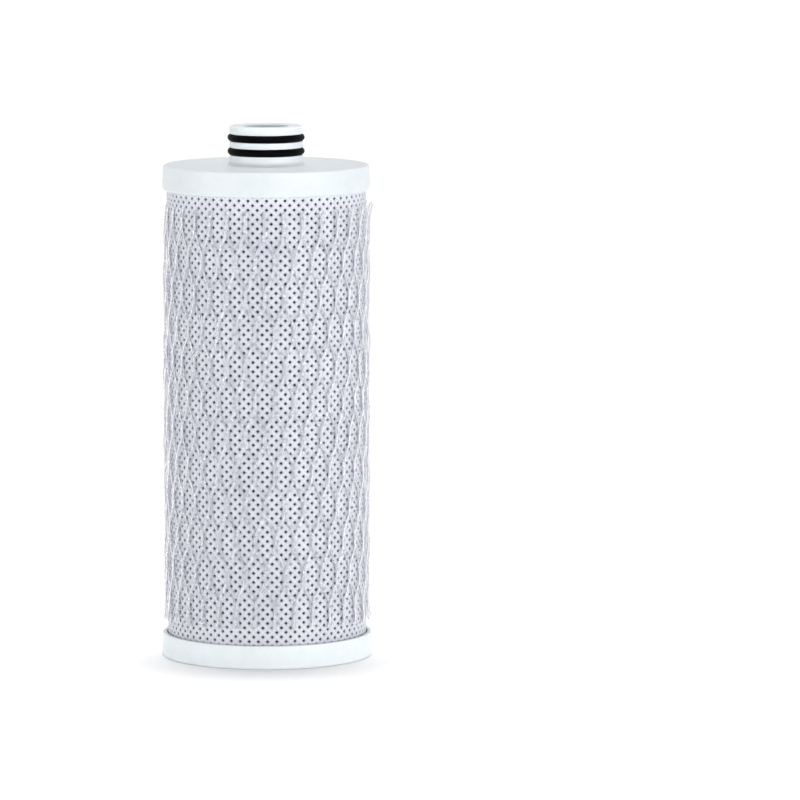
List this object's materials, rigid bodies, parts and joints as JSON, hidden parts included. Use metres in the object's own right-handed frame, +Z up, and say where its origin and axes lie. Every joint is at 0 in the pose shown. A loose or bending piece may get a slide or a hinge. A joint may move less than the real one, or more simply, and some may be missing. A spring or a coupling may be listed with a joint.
{
  "type": "drop-in water filter cartridge",
  "caption": "Cylindrical carbon water filter cartridge in plastic netting, with moulded end caps and a grooved spigot carrying rubber O-rings.",
  "frame": {"origin": "centre of the underside of the bottom end cap, which the cartridge stands on", "axes": "+Z up along the cartridge's axis, towards the outlet spigot; X and Y are across it, and the cartridge is round"},
  "size_m": [0.0646, 0.0646, 0.1635],
  "materials": {
    "moulded_pp": "satin moulded white polypropylene",
    "o_ring_rubber": "black moulded rubber with a slight sheen of grease",
    "net_pe": "clear extruded polyethylene netting",
    "wrap_film": "white embossed apertured polypropylene sheet",
    "activated_carbon": "matt black bonded carbon granules",
    "liner_felt": "white spun-bonded polypropylene",
    "core_pp": "white moulded polypropylene",
    "hot_melt": "cream hot-melt adhesive"
  },
  "bodies": {
    "root": {"top_end_cap": "moulded_pp", "upper_o_ring": "o_ring_rubber", "lower_o_ring": "o_ring_rubber", "bottom_end_cap": "moulded_pp", "outer_net": "net_pe", "outer_wrap": "wrap_film", "carbon_block": "activated_carbon", "inner_wrap": "liner_felt", "core_tube": "core_pp", "top_bond_ring": "hot_melt", "bottom_bond_disc": "hot_melt"}
  },
  "joints": []
}
